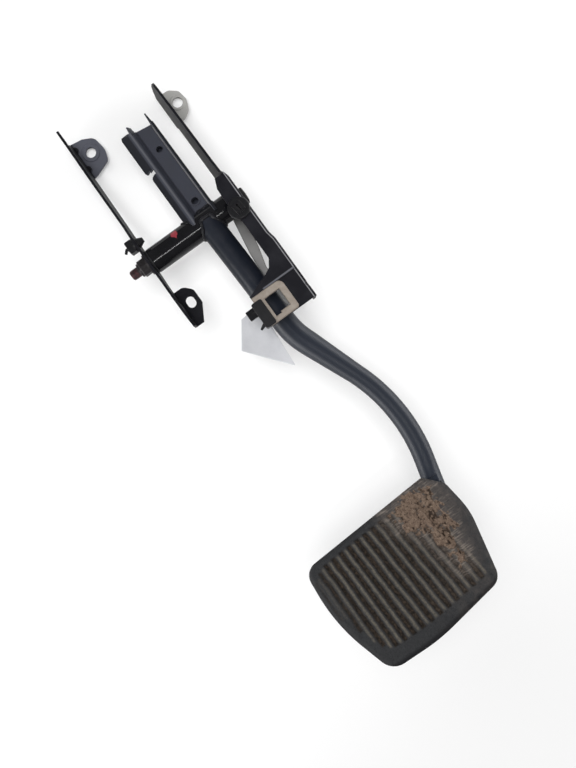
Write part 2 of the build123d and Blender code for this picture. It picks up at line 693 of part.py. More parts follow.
# blank paper flag stuck against the back of the arm, drawn as (x, distance down the arm)
arm_line = (bend_1 - arm_top).normalized()
tag_out = Vector(0, -arm_line.Z, arm_line.Y).normalized()
tag_back = arm_top + tag_out * (arm_r + 0.02)
with BuildPart() as paper_tag:
    with BuildSketch(Plane(origin=(0, tag_back.Y, tag_back.Z), x_dir=(1, 0, 0), z_dir=tag_out)):
        with BuildLine():
            Polyline(
                (-22.0, 78.5), (-36.4, 99.8), (-8.0, 134.0), (-5.7, 93.0), (8.5, 91.0), (7.5, 75.0), close=True,
            )
        make_face()
    extrude(amount=0.35)
paper_tag.part.label = "paper_tag"
export_step(paper_tag.part, "parts/paper_tag.step")
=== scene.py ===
import bpy
import numpy as np
from mathutils import Matrix, Vector


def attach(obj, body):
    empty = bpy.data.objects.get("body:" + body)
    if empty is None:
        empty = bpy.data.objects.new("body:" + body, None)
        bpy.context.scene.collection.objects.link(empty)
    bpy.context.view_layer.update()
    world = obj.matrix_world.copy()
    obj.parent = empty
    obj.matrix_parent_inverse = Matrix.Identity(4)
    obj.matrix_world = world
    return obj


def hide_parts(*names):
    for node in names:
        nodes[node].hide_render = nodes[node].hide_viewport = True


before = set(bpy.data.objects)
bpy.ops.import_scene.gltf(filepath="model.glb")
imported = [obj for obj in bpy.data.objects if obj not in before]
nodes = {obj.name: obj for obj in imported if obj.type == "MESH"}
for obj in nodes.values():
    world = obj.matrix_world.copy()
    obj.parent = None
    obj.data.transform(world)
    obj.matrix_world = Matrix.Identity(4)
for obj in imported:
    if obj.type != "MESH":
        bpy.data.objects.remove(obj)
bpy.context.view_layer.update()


# Left bracket: one pressing of 2 mm steel sheet, a tall side plate with two fixing tabs turned in.
# It is dipped in black primer after pressing, so the coat is even, satin and thin on the cut edges.
# painted light: the left tab's face is coloured grey for the light it catches
LEFT_TAB_LIT_GREY, LEFT_TAB_LIT_SHARE = "#62646e", 0.75
TAB_DEEP = (-3.6, 5.0)
LEFT_TAB_REACH = (-52.5, -20.0)
ECOAT_BLACK = "#141418"
ECOAT_DUST = "#3b3b40"
ECOAT_EDGE_WEAR_HIGHLIGHT = "#6e6e70"
DUST_PATCH = 16.0
ORANGE_PEEL = 0.9
SCUFF_GRAIN = 1.6


def linear(code):
    """sRGB hex to a linear colour with alpha 1, by the sRGB curve."""
    part = np.array([int(code[i:i + 2], 16) for i in (1, 3, 5)]) / 255
    part = np.where(part <= 0.04045, part / 12.92, ((part + 0.055) / 1.055) ** 2.4)
    return (*part.tolist(), 1.0)


def add(tree, kind, inputs=None, **settings):
    """Adds one node: settings are its own properties, inputs are values or outputs linked to its sockets."""
    made = tree.nodes.new(kind)
    for name, value in settings.items():
        setattr(made, name, value)
    for name, value in (inputs or {}).items():
        if isinstance(value, bpy.types.NodeSocket):
            tree.links.new(value, made.inputs[name])
        else:
            made.inputs[name].default_value = value
    return made


def start(name, **finish):
    """A new material with its shader, whose uniform values finish gives, and the place on the piece in mm."""
    made = bpy.data.materials.new(name)
    made.use_nodes = True
    tree = made.node_tree
    tree.nodes.clear()
    shader = add(tree, "ShaderNodeBsdfPrincipled", {k.replace("_", " "): v for k, v in finish.items()})
    add(tree, "ShaderNodeOutputMaterial", {"Surface": shader.outputs[0]})
    coords = add(tree, "ShaderNodeTexCoord")
    place = add(tree, "ShaderNodeVectorMath", {0: coords.outputs["Object"], "Scale": 1000.0}, operation="SCALE")
    return made, tree, shader, place.outputs[0]


def times(tree, first, second):
    """Product of two values."""
    return add(tree, "ShaderNodeMath", {0: first, 1: second}, operation="MULTIPLY").outputs[0]


def ramp(tree, value, low, high, begin=0.0, end=1.0):
    """Runs straight from begin to end as a value goes from low to high, and stays level outside them."""
    return add(tree, "ShaderNodeMapRange", {0: value, 1: low, 2: high, 3: begin, 4: end}).outputs[0]


def noise(tree, place, size, detail, rough=0.5):
    """Soft random patches about size mm across, 0 to 1."""
    return add(tree, "ShaderNodeTexNoise",
               {"Vector": place, "Scale": 1 / size, "Detail": detail, "Roughness": rough}).outputs[0]


def blend(tree, shader, mask, first, second):
    """Base colour running from one colour to another as the mask goes from 0 to 1."""
    mix = add(tree, "ShaderNodeMix", {0: mask, 6: linear(first), 7: linear(second)}, data_type="RGBA")
    tree.links.new(mix.outputs[2], shader.inputs["Base Color"])


def relief(tree, shader, height, strength, rounded):
    """Fine relief a tenth of a millimetre high over a normal already rounded at the edges."""
    bump = add(tree, "ShaderNodeBump", {"Height": height, "Strength": strength, "Distance": 0.0001,
                                        "Normal": rounded.outputs[0]})
    tree.links.new(bump.outputs[0], shader.inputs["Normal"])


def lay_over(tree, shader, mask, code):
    """Lays a colour over whatever feeds the shader's base colour, where the mask is 1."""
    under = shader.inputs["Base Color"].links[0].from_socket
    mix = add(tree, "ShaderNodeMix", {0: mask, 6: under, 7: linear(code)}, data_type="RGBA")
    tree.links.new(mix.outputs[2], shader.inputs["Base Color"])


def between(tree, value, low, high, soft):
    """1 where a value in mm lies between low and high, eased off over soft mm at each end."""
    rise = add(tree, "ShaderNodeMapRange", {0: value, 1: low - soft, 2: low + soft},
               interpolation_type="SMOOTHSTEP")
    fall = add(tree, "ShaderNodeMapRange", {0: value, 1: high + soft, 2: high - soft},
               interpolation_type="SMOOTHSTEP")
    return times(tree, rise.outputs[0], fall.outputs[0])


def dress(piece, material):
    """Puts one material in every slot of a piece."""
    if not piece.material_slots:
        piece.data.materials.append(material)
    for held in piece.material_slots:
        held.material = material


def dipped_paint(name, coat, dusty, rough, worn=1.0, index=1.5):
    """Black dip primer on steel: satin, faint orange peel, dust in soft patches, and grey along the edges that
    is partly rubbed wear and partly painted highlight.
    The edge mask is how far a rounded normal leaves the flat one, broken by a fine grain."""
    made, tree, shader, place = start(name, Roughness=rough, IOR=index)
    dust = noise(tree, place, DUST_PATCH, 5.0, 0.65)
    dust_mask = ramp(tree, dust, 0.42, 0.75, end=dusty)
    blend(tree, shader, dust_mask, coat, ECOAT_DUST)
    rounded = add(tree, "ShaderNodeBevel", {"Radius": 0.0006}, samples=6)
    flat = add(tree, "ShaderNodeNewGeometry")
    turn = add(tree, "ShaderNodeVectorMath", {0: rounded.outputs[0], 1: flat.outputs["Normal"]},
               operation="DOT_PRODUCT")
    grain = noise(tree, place, SCUFF_GRAIN, 3.0)
    # painted highlight mixed with wear: rounded edges are coloured grey where light would catch them, broken by
    # a rub grain
    edge = ramp(tree, turn.outputs["Value"], 0.99, 0.86)
    scuff = ramp(tree, grain, 0.35, 0.7, 0.15 * worn, 0.75 * worn)
    edge_wear_and_highlight = times(tree, edge, scuff)
    lay_over(tree, shader, edge_wear_and_highlight, ECOAT_EDGE_WEAR_HIGHLIGHT)
    peel = noise(tree, place, ORANGE_PEEL, 1.0)
    relief(tree, shader, peel, 0.12, rounded)
    return made, tree, shader, place


left_paint, tree, shader, place = dipped_paint("dip_primed_steel_left", ECOAT_BLACK, 0.2, 0.45, 0.3, 1.25)
axes = add(tree, "ShaderNodeSeparateXYZ", {0: place})
# painted light: the left tab's face is painted grey, standing in for the light falling on it
tab_face = between(tree, axes.outputs[1], *TAB_DEEP, 0.6)
tab_side = between(tree, axes.outputs[0], *LEFT_TAB_REACH, 1.2)
left_tab = times(tree, tab_face, tab_side)
tab_pale = times(tree, left_tab, LEFT_TAB_LIT_SHARE)
lay_over(tree, shader, tab_pale, LEFT_TAB_LIT_GREY)
dress(nodes["left_bracket"], left_paint)


# Right bracket: a second 2 mm pressing, side plate with joggles, upper tab turned out, front panel folded in.
# Same dip primer; the upper tab is coloured pale grey.
RIGHT_ECOAT = "#15151a"
RIGHT_TAB_PALE, RIGHT_TAB_PALE_SHARE = "#a6a5a2", 0.9
RIGHT_TAB_REACH = (32.6, 60.0)
right_paint, tree, shader, place = dipped_paint("dip_primed_steel_right", RIGHT_ECOAT, 0.22, 0.45, 0.35, 1.28)
axes = add(tree, "ShaderNodeSeparateXYZ", {0: place})
tab_face = between(tree, axes.outputs[1], *TAB_DEEP, 0.6)
tab_side = between(tree, axes.outputs[0], *RIGHT_TAB_REACH, 0.5)
right_tab = times(tree, tab_face, tab_side)
tab_pale = times(tree, right_tab, RIGHT_TAB_PALE_SHARE)
lay_over(tree, shader, tab_pale, RIGHT_TAB_PALE)
# painted highlight: a pale line is painted just inside the forward fold, which steps out at the joggle,
# and a grey one along the ledge of the panel, where light catches them
FOLD_HIGHLIGHT, LEDGE_HIGHLIGHT = "#8c8c8f", "#5c5d63"
FOLD_LINE, FOLD_STEP, FOLD_FRONT = (31.6, 32.2), 1.3, (-90.0, -82.7)
LEDGE_HIGH, LEDGE_ACROSS = (-188.8, -187.5), (5.0, 33.0)
step_out = ramp(tree, axes.outputs[2], -155.0, -162.0, end=FOLD_STEP)
inside = add(tree, "ShaderNodeMath", {0: axes.outputs[0], 1: step_out}, operation="SUBTRACT")
fold_line = between(tree, inside.outputs[0], *FOLD_LINE, 0.3)
fold_front = between(tree, axes.outputs[1], *FOLD_FRONT, 0.25)
fold_mask = times(tree, fold_line, fold_front)
lay_over(tree, shader, fold_mask, FOLD_HIGHLIGHT)
ledge_line = between(tree, axes.outputs[2], *LEDGE_HIGH, 0.3)
ledge_run = between(tree, axes.outputs[0], *LEDGE_ACROSS, 0.8)
ledge_mask = times(tree, ledge_line, ledge_run)
ledge_front = times(tree, ledge_mask, fold_front)
lay_over(tree, shader, ledge_front, LEDGE_HIGHLIGHT)
dress(nodes["right_bracket"], right_paint)


# Switch seat: a small stamped plate welded to the lower panel, left bare round its window.
# Passivated zinc that has yellowed, with brown stain creeping in from the sheared edges and fine rub marks.
SEAT_ZINC = "#a9a096"
SEAT_STAIN = "#4f3d30"
SEAT_SHADE = "#7d7268"
STAIN_PATCH, RUB_GRAIN = 3.5, 0.7
seat, tree, shader, place = start("passivated_zinc_stamped", Metallic=0.2, Roughness=0.42)
mottle = noise(tree, place, STAIN_PATCH, 5.0, 0.6)
blend(tree, shader, mottle, SEAT_ZINC, SEAT_SHADE)
rounded = add(tree, "ShaderNodeBevel", {"Radius": 0.0011}, samples=6)
flat = add(tree, "ShaderNodeNewGeometry")
turn = add(tree, "ShaderNodeVectorMath", {0: rounded.outputs[0], 1: flat.outputs["Normal"]},
           operation="DOT_PRODUCT")
edge = ramp(tree, turn.outputs["Value"], 0.985, 0.85)
creep = times(tree, edge, mottle)
lay_over(tree, shader, creep, SEAT_STAIN)
rub = noise(tree, place, RUB_GRAIN, 4.0)
relief(tree, shader, rub, 0.15, rounded)
dress(nodes["switch_plate"], seat)


# Brace strap: a flat 2 mm stay welded inside the right plate, with a slotted tab at its lower end.
# Its grey paint is kept pale partly as painted light, so it looks lit in the bracket's shade, and its edges are
# painted dark as shade.
STRAP_GREY = "#979695"
STRAP_EDGE_SHADE = "#1b1b1d"
strap, tree, shader, place = dipped_paint("pale_grey_primer_strap", STRAP_GREY, 0.25, 0.45, 0.2)
# painted shade: the strap's long edges are painted dark
broad = add(tree, "ShaderNodeBevel", {"Radius": 0.0016}, samples=6)
facing = add(tree, "ShaderNodeNewGeometry")
leaving = add(tree, "ShaderNodeVectorMath", {0: broad.outputs[0], 1: facing.outputs["Normal"]},
              operation="DOT_PRODUCT")
painted_edge_shade = ramp(tree, leaving.outputs["Value"], 0.97, 0.86, end=0.9)
lay_over(tree, shader, painted_edge_shade, STRAP_EDGE_SHADE)
dress(nodes["brace_strap"], strap)


# Pivot bolt, washer and self-locking nut: cold-headed steel, black zinc plated, clamping the sleeve.
# The plating is dark and slightly glossy; the inspector's red paint is left on the thread end.
FIXING_BLACK = "#1d1b1d"
FIXING_WORN = "#4a4748"
PAINT_RED = "#93363f"
THREAD_RED = "#7a2c35"
RED_REACH = (-90.0, -66.2)
PLATING_GRAIN = 1.4
THREAD_PITCH = 1.25
THREAD_ROOT = 3.97
THREAD_DEPTH = 0.34
THREAD_FROM, THREAD_TO = -72.2, -64.9
PIVOT = np.array([0.0, -50.0, -114.6])
fixing, tree, shader, place = start("black_zinc_plated_steel", Metallic=0.55, Roughness=0.4)
grain = noise(tree, place, PLATING_GRAIN, 4.0)
blend(tree, shader, grain, FIXING_BLACK, FIXING_WORN)
axes = add(tree, "ShaderNodeSeparateXYZ", {0: place})
dab = between(tree, axes.outputs[0], *RED_REACH, 0.9)
dab_broken = ramp(tree, grain, 0.4, 0.65, 0.05, 0.4)
dab_mask = times(tree, dab, dab_broken)
lay_over(tree, shader, dab_mask, THREAD_RED)
rounded = add(tree, "ShaderNodeBevel", {"Radius": 0.0006}, samples=6)
relief(tree, shader, grain, 0.1, rounded)
for name in ("pivot_bolt", "pivot_washer", "pivot_nut"):
    dress(nodes[name], fixing)


def skin(name, rings, loop, material, body):
    """Closed skin over a row of rings in mm: quads join neighbouring rings and each ring closes on itself.
    If loop, the last ring joins the first; otherwise each end ring is closed by a fan to its mean point."""
    count, around = rings.shape[:2]
    index = np.arange(count * around).reshape(count, around)
    turned = np.roll(index, -1, axis=1)
    after = np.roll(index, -1, axis=0)
    turned_after = np.roll(turned, -1, axis=0)
    keep = slice(None) if loop else slice(0, count - 1)
    quads = np.stack([index[keep], turned[keep], turned_after[keep], after[keep]], axis=-1).reshape(-1, 4)
    points = rings.reshape(-1, 3)
    faces = quads.tolist()
    if not loop:
        points = np.concatenate([points, rings[:1].mean(axis=1), rings[-1:].mean(axis=1)])
        first, last = count * around, count * around + 1
        low = np.stack([turned[0], index[0], np.full(around, first)], axis=-1)
        high = np.stack([index[-1], turned[-1], np.full(around, last)], axis=-1)
        faces += low.tolist() + high.tolist()
    mesh = bpy.data.meshes.new(name)
    mesh.from_pydata((points / 1000).tolist(), [], faces)
    mesh.polygons.foreach_set("use_smooth", np.ones(len(mesh.polygons), bool))
    piece = bpy.data.objects.new(name, mesh)
    bpy.context.scene.collection.objects.link(piece)
    dress(piece, material)
    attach(piece, body)
    return piece


# thread: radius swings between root and crest once a pitch along the bolt, a turn later at each pitch
along = np.linspace(THREAD_FROM, THREAD_TO, 110)[:, None]
angle = np.linspace(0, 2 * np.pi, 48, endpoint=False)[None, :]
wave = np.abs(((along / THREAD_PITCH + angle / (2 * np.pi)) % 1.0) * 2 - 1)
fade = np.clip((along - THREAD_FROM) / 1.2, 0, 1) * np.clip((THREAD_TO - along) / 0.6, 0, 1)
radius = THREAD_ROOT - 0.25 + (0.25 + THREAD_DEPTH * wave) * fade
thread_rings = np.stack([along + 0 * angle, PIVOT[1] + radius * np.cos(angle),
                         PIVOT[2] + radius * np.sin(angle)], axis=-1)
skin("bolt_thread", thread_rings, False, fixing, "bracket")


# Spacer sleeve and the two flanged bushes: drawn steel tube, and moulded black nylon pressed in the hub.
# Only their ends show, in the gap between the hub and the side plates.
SLEEVE_STEEL, SLEEVE_OIL, OIL_SMEAR = "#8a8784", "#4f4a45", 2.5
NYLON_BLACK, NYLON_PALE, NYLON_GRAIN = "#141416", "#2b2b2e", 0.8
sleeve, tree, shader, place = start("drawn_steel_oiled", Metallic=1.0, Roughness=0.35)
smear = noise(tree, place, OIL_SMEAR, 4.0)
blend(tree, shader, smear, SLEEVE_STEEL, SLEEVE_OIL)
dress(nodes["pivot_sleeve"], sleeve)
nylon, tree, shader, place = start("moulded_black_nylon", Roughness=0.5, IOR=1.53)
speck = noise(tree, place, NYLON_GRAIN, 3.0)
blend(tree, shader, speck, NYLON_BLACK, NYLON_PALE)
rounded = add(tree, "ShaderNodeBevel", {"Radius": 0.0006}, samples=6)
relief(tree, shader, speck, 0.15, rounded)
for name in ("left_bush", "right_bush"):
    dress(nodes[name], nylon)


# Hub: steel cross tube that turns on the bushes, welded to the lever above it and the arm below.
# Dip primed with the arm; an inspection dab of red paint is brushed on its upper front.
HUB_ECOAT = "#0c0c0f"
DAB_X, DAB_TOP, DAB_TIP, DAB_HALF, DAB_RAGGED = -25.6, -106.2, -114.3, 3.1, 1.8
hub_paint, tree, shader, place = dipped_paint("dip_primed_tube_hub", HUB_ECOAT, 0.12, 0.13, 0.4)
axes = add(tree, "ShaderNodeSeparateXYZ", {0: place})
ragged = noise(tree, place, DAB_RAGGED, 3.0)
shift = add(tree, "ShaderNodeMath", {0: ragged, 1: 0.5}, operation="SUBTRACT")
away = add(tree, "ShaderNodeMath", {0: axes.outputs[0], 1: DAB_X}, operation="SUBTRACT")
off = add(tree, "ShaderNodeMath", {0: away.outputs[0]}, operation="ABSOLUTE")
rise = add(tree, "ShaderNodeMapRange", {0: axes.outputs[2], 1: DAB_TIP, 2: DAB_TOP - 2.5, 4: DAB_HALF},
           interpolation_type="SMOOTHERSTEP")
room = add(tree, "ShaderNodeMath", {0: rise.outputs[0], 1: off.outputs[0]}, operation="SUBTRACT")
loose = add(tree, "ShaderNodeMath", {0: shift.outputs[0], 1: 2.2, 2: room.outputs[0]}, operation="MULTIPLY_ADD")
brushed = ramp(tree, loose.outputs[0], 0.0, 0.7)
front = between(tree, axes.outputs[1], -80.0, -51.5, 0.4)
upper = between(tree, axes.outputs[2], -116.0, DAB_TOP, 0.4)
faced = times(tree, brushed, front)
dab = times(tree, faced, upper)
lay_over(tree, shader, dab, PAINT_RED)
dress(nodes["hub_tube"], hub_paint)


# Lever: folded 2.5 mm channel standing on the hub, its web facing the driver, a split lip down its left side.
# A narrower channel closes it behind. Both are welded to the hub and dip primed; the mid grey of their coat is
# painted light, for the web facing the light.
LEVER_LIT_GREY, LIP_SHADE = "#3c3e47", "#16171b"
lever_paint, tree, shader, place = dipped_paint("dip_primed_steel_lever", LEVER_LIT_GREY, 0.4, 0.36, 0.5, 1.4)
# painted shade: faces turned to the left, the split lip among them, are painted dark
facing = add(tree, "ShaderNodeNewGeometry")
turned_to = add(tree, "ShaderNodeSeparateXYZ", {0: facing.outputs["Normal"]})
left_facing_shade = ramp(tree, turned_to.outputs[0], -0.2, -0.5, end=0.8)
lay_over(tree, shader, left_facing_shade, LIP_SHADE)
# the flange's inner face is painted pale and the ridge of the left fold grey as painted highlights, and the
# flange's forward edge dark as painted shade
FLANGE_HIGHLIGHT, RIDGE_HIGHLIGHT = "#a4a4a6", "#63646a"
FLANGE_WALL, FLANGE_EDGE, FOLD_RIDGE = (9.5, 12.2), (11.6, 16.0), (-8.2, -6.6)
axes = add(tree, "ShaderNodeSeparateXYZ", {0: place})
inward = ramp(tree, turned_to.outputs[0], -0.5, -0.8, end=0.9)
flange_wall = between(tree, axes.outputs[0], *FLANGE_WALL, 0.3)
flange_mask = times(tree, flange_wall, inward)
lay_over(tree, shader, flange_mask, FLANGE_HIGHLIGHT)
to_front = ramp(tree, turned_to.outputs[1], -0.6, -0.85, end=0.9)
flange_edge = between(tree, axes.outputs[0], *FLANGE_EDGE, 0.3)
edge_mask = times(tree, flange_edge, to_front)
lay_over(tree, shader, edge_mask, LIP_SHADE)
ridge = between(tree, axes.outputs[0], *FOLD_RIDGE, 0.4)
ridge_mask = times(tree, ridge, 0.7)
lay_over(tree, shader, ridge_mask, RIDGE_HIGHLIGHT)
for name in ("lever_channel", "lever_back"):
    dress(nodes[name], lever_paint)

LEAN = np.radians(9.0)
LEVER_UP = np.array([0.0, np.sin(LEAN), np.cos(LEAN)])
LEVER_BACK = np.array([0.0, np.cos(LEAN), -np.sin(LEAN)])
HUB_R = 10.5
RIPPLE = 2.1


def ease(share):
    """Smooth step: 0 below 0, 1 above 1, three t squared less two t cubed between."""
    share = np.clip(share, 0, 1)
    return share * share * (3 - 2 * share)


def patches(x, y, size, seed):
    """Smooth random patches about size mm across, 0 to 1: random lattice values eased between neighbours."""
    table = np.random.default_rng(seed).random((64, 64))
    column, row = np.floor(x / size).astype(int), np.floor(y / size).astype(int)
    across, down = ease(x / size - column), ease(y / size - row)
    near = table[column % 64, row % 64] * (1 - across) + table[(column + 1) % 64, row % 64] * across
    row = row + 1
    far = table[column % 64, row % 64] * (1 - across) + table[(column + 1) % 64, row % 64] * across
    return near * (1 - down) + far * down


def weld_bead(name, path, outward, thick, loop, material):
    """Weld bead: a round section carried along a path in mm, swelling once a ripple and unevenly between.
    Section point = path + radius (cos a outward + sin a side); open ends thin out to a quarter."""
    ahead = np.roll(path, -1, axis=0) - np.roll(path, 1, axis=0) if loop else np.gradient(path, axis=0)
    ahead /= np.linalg.norm(ahead, axis=1, keepdims=True)
    outward = outward - ahead * (outward * ahead).sum(axis=1, keepdims=True)
    outward /= np.linalg.norm(outward, axis=1, keepdims=True)
    side = np.cross(ahead, outward)
    step = np.linalg.norm(np.diff(path, axis=0), axis=1)
    travel = np.concatenate([[0], np.cumsum(step)])
    uneven = 0.5 * (patches(travel, travel, 3.4, 5) - 0.5)
    radius = thick * (0.9 + 0.04 * np.sin(2 * np.pi * travel / RIPPLE) + uneven)
    if not loop:
        radius *= 0.25 + 0.75 * ease(np.minimum(travel, travel[-1] - travel) / (1.6 * thick))
    turn = np.linspace(0, 2 * np.pi, 16, endpoint=False)[None, :, None]
    section = np.cos(turn) * outward[:, None] + np.sin(turn) * side[:, None]
    rings = path[:, None] + radius[:, None, None] * section
    return skin(name, rings, loop, material, "pedal")


WELD_ECOAT = "#161619"
weld_paint, tree, shader, place = dipped_paint("dip_primed_weld", WELD_ECOAT, 0.35, 0.38, 0.6)
# foot of the web, across the hub's crown on the driver's side
run = np.linspace(-2.0, 11.2, 60)[:, None]
depth, height = -2.6, 10.7
web_path = PIVOT + run * np.array([1.0, 0, 0]) + depth * LEVER_BACK + height * LEVER_UP
web_out = np.repeat((LEVER_UP * 0.7 - LEVER_BACK * 0.7)[None], 60, axis=0)
weld_bead("lever_weld_web", web_path, web_out, 1.3, False, weld_paint)
# outer foot of the right flange and of the left fold, each following the hub's roundness
for name, weld_x, side_x, back_from, back_to in (
    ("lever_weld_right", 13.8, 1.0, -0.5, -10.2), ("lever_weld_left", -10.9, -1.0, -9.8, -4.8),
):
    depth = np.linspace(back_from, back_to, 60)[:, None]
    height = np.sqrt(np.maximum((HUB_R + 0.2) ** 2 - depth ** 2, 0.0))
    lean_x = weld_x + (depth - back_from) * (0.0 if side_x > 0 else -1.25)
    foot_path = PIVOT + lean_x * np.array([1.0, 0, 0]) + depth * LEVER_BACK + height * LEVER_UP
    foot_out = (depth * LEVER_BACK + height * LEVER_UP) / HUB_R + side_x * np.array([1.0, 0, 0])
    weld_bead(name, foot_path, foot_out, 1.3, False, weld_paint)


# Arm: 20 mm tube swaged down to 16 mm below its first bend, bent twice and flattened on the foot plate.
# It is notched to saddle the hub and welded all round; satin dip primer with a blue-black cast.
ARM_ECOAT, ARM_LOWER = "#191d26", "#20252f"
LOWER_FROM, LOWER_FULL = -195.0, -235.0
arm_paint, tree, shader, place = dipped_paint("dip_primed_tube_arm", ARM_ECOAT, 0.25, 0.38, 0.4)
# below the brackets the coat is coloured paler and made duller
axes = add(tree, "ShaderNodeSeparateXYZ", {0: place})
lower_pale = ramp(tree, axes.outputs[2], LOWER_FROM, LOWER_FULL, end=0.9)
lay_over(tree, shader, lower_pale, ARM_LOWER)
dulled = ramp(tree, axes.outputs[2], LOWER_FROM, LOWER_FULL, 0.38, 0.44)
tree.links.new(dulled, shader.inputs["Roughness"])
dress(nodes["pedal_arm"], arm_paint)
ARM_R = 9.9
ARM_FORWARD = 2.4
ARM_TOP = np.array([1.9, -50.0 - ARM_FORWARD, -114.6])
ARM_DOWN = np.array([3.24, -113.0 * np.sin(np.radians(4.0)) + ARM_FORWARD, -113.0 * np.cos(np.radians(4.0))])
ARM_DOWN /= np.linalg.norm(ARM_DOWN)
# saddle line: for each angle round the arm, how far down its side first stands clear of the hub's roundness;
# the arm's front stands before the hub, and there the bead runs along its cut end instead
angle = np.linspace(0, 2 * np.pi, 180, endpoint=False)[:, None]
arm_x = np.cross(ARM_DOWN, [0.0, 1.0, 0.0])
arm_x /= np.linalg.norm(arm_x)
arm_y = np.cross(ARM_DOWN, arm_x)
spoke = ARM_R * (np.cos(angle) * arm_x + np.sin(angle) * arm_y)
from_hub = ARM_TOP - PIVOT + spoke
slope = (from_hub[:, 1:] * ARM_DOWN[1:]).sum(axis=1)
square = (ARM_DOWN[1:] ** 2).sum()
gap = (from_hub[:, 1:] ** 2).sum(axis=1) - (HUB_R + 0.4) ** 2
inside = slope ** 2 - square * gap
down = (-slope + np.sqrt(np.maximum(inside, 0.0))) / square
saddle = ARM_TOP + spoke + down[:, None] * ARM_DOWN
ahead_share = ease(-inside / 12.0)[:, None]
saddle = saddle + ahead_share * np.array([0.0, 1.1, 0.9])
hub_out = (saddle - PIVOT) * [0, 1, 1] / HUB_R
weld_bead("arm_weld", saddle + 0.2 * spoke / ARM_R, spoke / ARM_R + hub_out, 1.7, True, weld_paint)


# Foot plate: flat 3 mm blank welded across the end of the arm, dip primed with it.
# Two fillet welds run down either side of the arm where it lies on the plate.
PLATE_ECOAT = "#19191c"
plate_paint, tree, shader, place = dipped_paint("dip_primed_plate_foot", PLATE_ECOAT, 0.6, 0.45)
dress(nodes["foot_plate"], plate_paint)
PAD_TILT = np.radians(22.0)
PAD_ORIGIN = np.array([0.0, -74.581, -373.415])
PAD_X = np.array([1.0, 0.0, 0.0])
PAD_UP = np.array([0.0, np.sin(PAD_TILT), np.cos(PAD_TILT)])
PAD_OUT = np.array([0.0, -np.cos(PAD_TILT), np.sin(PAD_TILT)])
ARM_LOW_R, ARM_SEAT, ARM_SLANT = 8.0, 6.8, 0.27 / 0.963
weld_y = np.linspace(-12.0, -40.0, 90)[:, None]
for name, side in (("foot_weld_left", -1.0), ("foot_weld_right", 1.0)):
    weld_x = 27.4 + weld_y * ARM_SLANT + side * 5.4
    foot_path = PAD_ORIGIN + weld_x * PAD_X + weld_y * PAD_UP - 0.9 * PAD_OUT
    foot_out = np.repeat((side * 0.7 * PAD_X - 0.7 * PAD_OUT)[None], 90, axis=0)
    weld_bead(name, foot_path, foot_out, 2.2, False, weld_paint)


# Rubber pad: moulded cover stretched over the foot plate, its fourteen grooves leaving ribs worn round on top.
# Road dust lies in the grooves and a crust of dried mud is trodden into the upper right corner.
PAD_CORNERS = np.array([(-94.4, -9.3), (18.2, -3.2), (30.2, -17.0), (32.7, -43.0), (19.6, -94.4),
                        (-40.0, -103.3), (-80.3, -102.0), (-96.4, -54.0)])
PAD_ROUNDS = np.array([11.0, 4.0, 8.0, 60.0, 11.0, 150.0, 14.0, 130.0])
RIB_ROWS = np.array([
    (-87.6, -19.0, -57.0), (-80.4, -15.0, -81.0), (-73.0, -14.0, -90.0), (-65.6, -13.7, -91.0),
    (-58.1, -13.3, -91.0), (-50.5, -13.0, -91.2), (-42.8, -12.6, -91.2), (-35.2, -12.2, -91.0),
    (-27.5, -11.8, -90.3), (-19.8, -11.3, -89.8), (-12.0, -11.0, -89.0), (-4.3, -10.6, -88.4),
    (3.3, -10.3, -87.6), (11.0, -10.0, -86.6)])
FIRST_SIDE = (-94.0, -23.0, -54.0)
RIB_WIDE, GROOVE_DEEP, GROOVE_ROUND = 3.4, 2.0, 1.9
TOP_WIDE, TOP_SOFT = 1.6, 1.4
FACE, RIM, RIM_WIDE = 11.4, 3.2, 4.4
LIP_LOW, PLATE_FRONT = -2.6, 3.0
MUD_OUTLINE = np.array([
    (-19.4, -6.2), (4.9, -4.6), (14.0, -7.0), (18.5, -13.5), (20.4, -22.8), (19.4, -35.8), (16.0, -43.5),
    (14.3, -50.0), (13.3, -58.4), (9.0, -71.0), (2.6, -72.0), (-0.6, -58.0), (-2.4, -47.2), (-5.2, -40.1),
    (-10.3, -31.5), (-16.9, -24.3), (-19.1, -15.5)])
GRID_X, GRID_Y = 340, 170


def rounded_sides(corners, rounds, splits, counts):
    """Outline with each corner replaced by the arc of its radius tangent to both runs, cut at the middles of
    four corners' arcs into four sides, each spaced evenly by length."""
    arc = 25
    into = corners - np.roll(corners, 1, axis=0)
    into /= np.linalg.norm(into, axis=1, keepdims=True)
    out = np.roll(into, -1, axis=0)
    turn = np.arctan2(into[:, 0] * out[:, 1] - into[:, 1] * out[:, 0], (into * out).sum(axis=1))
    begin = corners - into * (rounds * np.tan(np.abs(turn) / 2))[:, None]
    inward = np.stack([-into[:, 1], into[:, 0]], axis=1) * np.sign(turn)[:, None]
    centre = begin + inward * rounds[:, None]
    sweep = turn[:, None] * np.linspace(0, 1, arc)
    spoke = begin - centre
    swept = np.stack([spoke[:, :1] * np.cos(sweep) - spoke[:, 1:] * np.sin(sweep),
                      spoke[:, :1] * np.sin(sweep) + spoke[:, 1:] * np.cos(sweep)], axis=-1)
    whole = (centre[:, None] + swept).reshape(-1, 2)
    sides = []
    for first, last, count in zip(splits, splits[1:] + splits[:1], counts):
        a, b = first * arc + arc // 2, last * arc + arc // 2
        side = np.take(whole, np.arange(a, b + 1 if b > a else b + 1 + len(whole)), axis=0, mode="wrap")
        length = np.concatenate([[0], np.cumsum(np.linalg.norm(np.diff(side, axis=0), axis=1))])
        spaced = np.linspace(0, length[-1], count)
        sides.append(np.stack([np.interp(spaced, length, side[:, k]) for k in (0, 1)], axis=1))
    return sides


